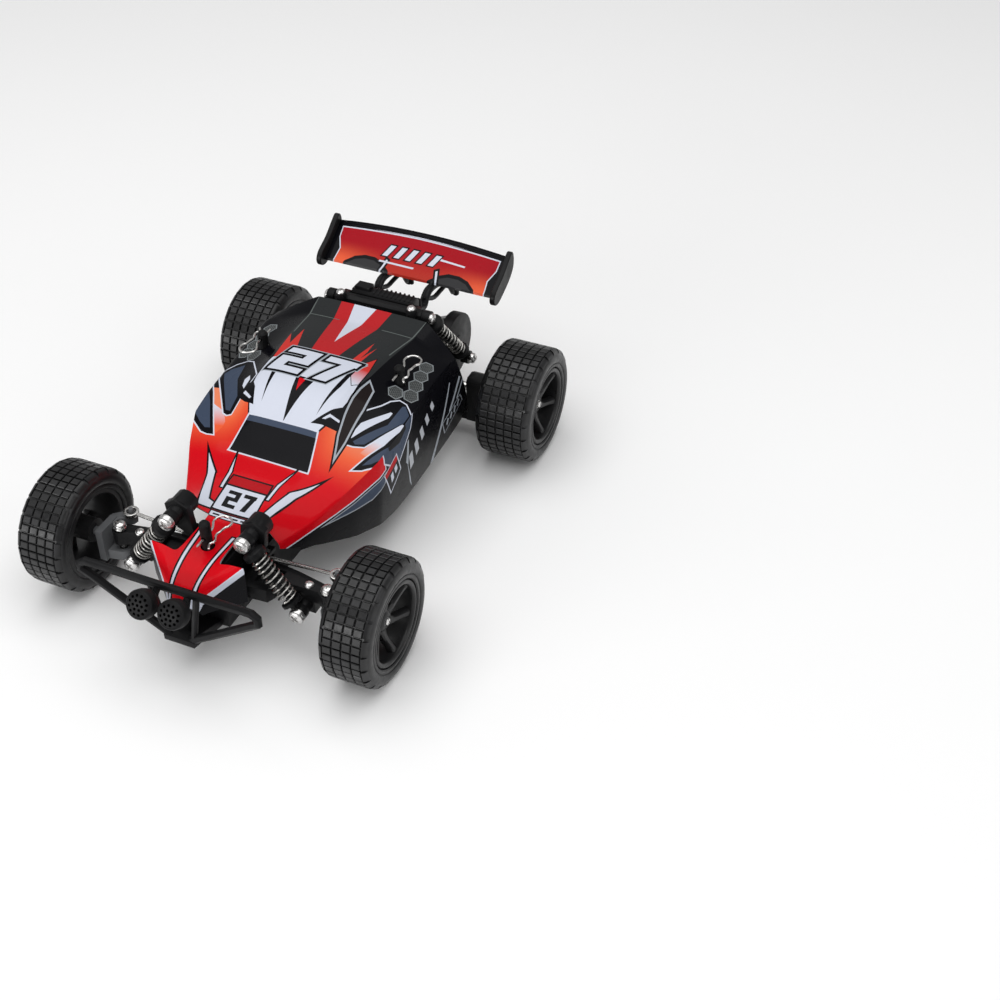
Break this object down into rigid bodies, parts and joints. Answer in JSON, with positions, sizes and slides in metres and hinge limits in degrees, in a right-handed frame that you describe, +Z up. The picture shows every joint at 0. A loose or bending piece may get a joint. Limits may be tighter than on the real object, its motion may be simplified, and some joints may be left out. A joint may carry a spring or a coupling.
{
  "type": "remote control car",
  "caption": "Small radio-controlled racing buggy with a clip-on body shell, sprung front arms, steering knuckles, a swinging geared rear axle and a rear wing",
  "frame": {"origin": "middle of the ground under the car's bounding box", "axes": "-Y is forwards, +Y to the rear wing, +X the car's left side, +Z up; the tyres stand on z = 0"},
  "size_m": [0.1512, 0.2351, 0.0764],
  "materials": {
    "black_plastic": "fine satin moulded black plastic",
    "grey_plastic": "mid-grey moulded plastic",
    "white_plastic": "natural white moulded plastic",
    "tyre_rubber": "matt black moulded rubber with a fine block tread",
    "rim_plastic": "satin black moulded plastic",
    "steel": "bright plain steel",
    "shell_film": "glossy printed red, orange, white and black vacuum-formed sheet",
    "wing_plastic": "black plastic with a printed red panel",
    "lamp_plastic": "dark grey moulded plastic",
    "board_green": "green printed circuit board",
    "cell_wrap": "light green shrink wrap"
  },
  "bodies": {
    "chassis": {"chassis_tub": "black_plastic", "front_tower": "black_plastic", "front_bumper": "black_plastic", "bumper_lamp_left": "lamp_plastic", "bumper_lamp_right": "lamp_plastic", "rear_tower": "black_plastic", "wing_mount": "black_plastic", "rear_wing": "wing_plastic", "body_shell": "shell_film", "body_post_front": "black_plastic", "body_post_rear_left": "black_plastic", "body_post_rear_right": "black_plastic", "battery_cell": "cell_wrap", "steering_servo": "black_plastic", "receiver_board": "board_green", "front_hinge_pin_left": "steel", "front_hinge_pin_right": "steel", "rear_hinge_pin": "steel"},
    "battery_door": {"battery_cover": "black_plastic"},
    "power_switch": {"power_switch": "white_plastic"},
    "clip_front": {"body_clip_front": "steel"},
    "clip_rear_left": {"body_clip_rear_left": "steel"},
    "clip_rear_right": {"body_clip_rear_right": "steel"},
    "steering_bar": {"steering_bar": "black_plastic"},
    "servo_horn": {"servo_horn": "black_plastic"},
    "drive_unit": {"drive_case": "black_plastic", "drive_motor": "steel", "gear_cover": "black_plastic"},
    "rear_axle": {"rear_axle": "steel", "tyre_rear_left": "tyre_rubber", "tyre_rear_right": "tyre_rubber", "rim_rear_left": "rim_plastic", "rim_rear_right": "rim_plastic"},
    "counter_gear": {"counter_gear": "white_plastic"},
    "motor_pinion": {"motor_pinion": "steel"},
    "front_arm_left": {"front_arm_left": "black_plastic", "kingpin_left": "steel"},
    "tie_rod_left": {"tie_rod_left": "steel"},
    "knuckle_left": {"knuckle_left": "grey_plastic"},
    "front_wheel_left": {"tyre_front_left": "tyre_rubber", "rim_front_left": "rim_plastic"},
    "front_shock_left": {"front_shock_left_body": "black_plastic", "front_shock_left_spring": "steel"},
    "front_shock_rod_left": {"front_shock_left_rod": "grey_plastic"},
    "rear_shock_left": {"rear_shock_left_body": "black_plastic", "rear_shock_left_spring": "steel"},
    "rear_shock_rod_left": {"rear_shock_left_rod": "grey_plastic"},
    "front_arm_right": {"front_arm_right": "black_plastic", "kingpin_right": "steel"},
    "tie_rod_right": {"tie_rod_right": "steel"},
    "knuckle_right": {"knuckle_right": "grey_plastic"},
    "front_wheel_right": {"tyre_front_right": "tyre_rubber", "rim_front_right": "rim_plastic"},
    "front_shock_right": {"front_shock_right_body": "black_plastic", "front_shock_right_spring": "steel"},
    "front_shock_rod_right": {"front_shock_right_rod": "grey_plastic"},
    "rear_shock_right": {"rear_shock_right_body": "black_plastic", "rear_shock_right_spring": "steel"},
    "rear_shock_rod_right": {"rear_shock_right_rod": "grey_plastic"}
  },
  "joints": [
    {"name": "front_arm_left_swing", "type": "hinge", "parent": "chassis", "child": "front_arm_left", "pos_m": [0.013, -0.07315, 0.024], "axis": [0, -1, 0], "range_deg": [-3, 6], "stiffness_Nm_per_rad": 0.12, "springref_deg": -11.46},
    {"name": "front_shock_left_tilt", "type": "hinge", "parent": "chassis", "child": "front_shock_left", "pos_m": [0.0162, -0.07715, 0.0481], "axis": [0, -1, 0], "range_deg": [-1.51, 2.97]},
    {"name": "front_shock_left_stroke", "type": "slide", "parent": "front_shock_left", "child": "front_shock_rod_left", "axis": [0.5864, 0, -0.81], "range_m": [-0.00187, 0.00099], "deforming": ["front_shock_left_spring"]},
    {"name": "steer_left", "type": "hinge", "parent": "front_arm_left", "child": "knuckle_left", "pos_m": [0.0457, -0.07135, 0.0253], "axis": [0, 0, 1], "range_deg": [-22, 22]},
    {"name": "front_wheel_left_spin", "type": "hinge", "parent": "knuckle_left", "child": "front_wheel_left", "pos_m": [0.065, -0.07315, 0.0253], "axis": [1, 0, 0], "continuous": true},
    {"name": "tie_rod_left_slide", "type": "slide", "parent": "front_arm_left", "child": "tie_rod_left", "axis": [1, 0, 0], "range_m": [-0.0032, 0.0032]},
    {"name": "front_arm_right_swing", "type": "hinge", "parent": "chassis", "child": "front_arm_right", "pos_m": [-0.013, -0.07315, 0.024], "axis": [0, 1, 0], "range_deg": [-3, 6], "stiffness_Nm_per_rad": 0.12, "springref_deg": -11.46},
    {"name": "front_shock_right_tilt", "type": "hinge", "parent": "chassis", "child": "front_shock_right", "pos_m": [-0.0162, -0.07715, 0.0481], "axis": [0, 1, 0], "range_deg": [-1.51, 2.97]},
    {"name": "front_shock_right_stroke", "type": "slide", "parent": "front_shock_right", "child": "front_shock_rod_right", "axis": [-0.5864, 0, -0.81], "range_m": [-0.00187, 0.00099], "deforming": ["front_shock_right_spring"]},
    {"name": "steer_right", "type": "hinge", "parent": "front_arm_right", "child": "knuckle_right", "pos_m": [-0.0457, -0.07135, 0.0253], "axis": [0, 0, 1], "range_deg": [-22.5, 22.5]},
    {"name": "front_wheel_right_spin", "type": "hinge", "parent": "knuckle_right", "child": "front_wheel_right", "pos_m": [-0.065, -0.07315, 0.0253], "axis": [1, 0, 0], "continuous": true},
    {"name": "tie_rod_right_slide", "type": "slide", "parent": "front_arm_right", "child": "tie_rod_right", "axis": [1, 0, 0], "range_m": [-0.0032, 0.0032]},
    {"name": "steering_bar_slide", "type": "slide", "parent": "chassis", "child": "steering_bar", "axis": [1, 0, 0], "range_m": [-0.0032, 0.0032]},
    {"name": "servo_horn_turn", "type": "hinge", "parent": "chassis", "child": "servo_horn", "pos_m": [0, -0.05315, 0.035], "axis": [0, 0, 1], "range_deg": [-14.5, 14.5]},
    {"name": "drive_unit_swing", "type": "hinge", "parent": "chassis", "child": "drive_unit", "pos_m": [0, 0.03885, 0.024], "axis": [1, 0, 0], "range_deg": [-3, 6], "stiffness_Nm_per_rad": 0.3, "springref_deg": -11.46},
    {"name": "rear_axle_spin", "type": "hinge", "parent": "drive_unit", "child": "rear_axle", "pos_m": [0, 0.07285, 0.0253], "axis": [1, 0, 0], "continuous": true},
    {"name": "counter_gear_spin", "type": "hinge", "parent": "drive_unit", "child": "counter_gear", "pos_m": [0.018, 0.08885, 0.0335], "axis": [1, 0, 0], "continuous": true},
    {"name": "motor_spin", "type": "hinge", "parent": "drive_unit", "child": "motor_pinion", "pos_m": [0.018, 0.07425, 0.04], "axis": [1, 0, 0], "continuous": true},
    {"name": "rear_shock_left_tilt", "type": "hinge", "parent": "chassis", "child": "rear_shock_left", "pos_m": [0.0226, 0.06435, 0.0622], "axis": [1, 0, 0], "range_deg": [-1.49, 2.92]},
    {"name": "rear_shock_left_stroke", "type": "slide", "parent": "rear_shock_left", "child": "rear_shock_rod_left", "axis": [0.2553, 0.5273, -0.8104], "range_m": [-0.00438, 0.00224], "deforming": ["rear_shock_left_spring"]},
    {"name": "rear_shock_right_tilt", "type": "hinge", "parent": "chassis", "child": "rear_shock_right", "pos_m": [-0.0226, 0.06435, 0.0622], "axis": [1, 0, 0], "range_deg": [-1.49, 2.92]},
    {"name": "rear_shock_right_stroke", "type": "slide", "parent": "rear_shock_right", "child": "rear_shock_rod_right", "axis": [-0.2553, 0.5273, -0.8104], "range_m": [-0.00438, 0.00224], "deforming": ["rear_shock_right_spring"]},
    {"name": "battery_door_hinge", "type": "hinge", "parent": "chassis", "child": "battery_door", "pos_m": [0, 0.02975, 0.009], "axis": [1, 0, 0], "range_deg": [0, 80]},
    {"name": "power_switch_slide", "type": "slide", "parent": "chassis", "child": "power_switch", "axis": [0, 1, 0], "range_m": [0, 0.004]},
    {"name": "clip_front_pull", "type": "slide", "parent": "chassis", "child": "clip_front", "axis": [0, 1, 0], "range_m": [0, 0.01]},
    {"name": "clip_rear_left_pull", "type": "slide", "parent": "chassis", "child": "clip_rear_left", "axis": [0, 1, 0], "range_m": [0, 0.01]},
    {"name": "clip_rear_right_pull", "type": "slide", "parent": "chassis", "child": "clip_rear_right", "axis": [0, -1, 0], "range_m": [0, 0.01]}
  ],
  "couplings": [
    {"joint": "front_shock_left_tilt", "follows": "front_arm_left_swing", "ratio": 0.48741},
    {"joint": "front_shock_left_stroke", "follows": "front_arm_left_swing", "m_per_rad": -0.016945},
    {"joint": "tie_rod_left_slide", "follows": "steer_left", "m_per_rad": -0.008},
    {"joint": "front_shock_right_tilt", "follows": "front_arm_right_swing", "ratio": 0.48741},
    {"joint": "front_shock_right_stroke", "follows": "front_arm_right_swing", "m_per_rad": -0.016945},
    {"joint": "tie_rod_right_slide", "follows": "steer_left", "m_per_rad": -0.008},
    {"joint": "steer_right", "follows": "steer_left", "ratio": 1},
    {"joint": "steering_bar_slide", "follows": "steer_left", "m_per_rad": -0.008},
    {"joint": "servo_horn_turn", "follows": "steer_left", "ratio": -0.64},
    {"joint": "counter_gear_spin", "follows": "rear_axle_spin", "ratio": -2},
    {"joint": "motor_spin", "follows": "rear_axle_spin", "ratio": 6},
    {"joint": "rear_shock_left_tilt", "follows": "drive_unit_swing", "ratio": 0.47858},
    {"joint": "rear_shock_left_stroke", "follows": "drive_unit_swing", "m_per_rad": -0.04091},
    {"joint": "rear_shock_right_tilt", "follows": "drive_unit_swing", "ratio": 0.47858},
    {"joint": "rear_shock_right_stroke", "follows": "drive_unit_swing", "m_per_rad": -0.04091}
  ]
}
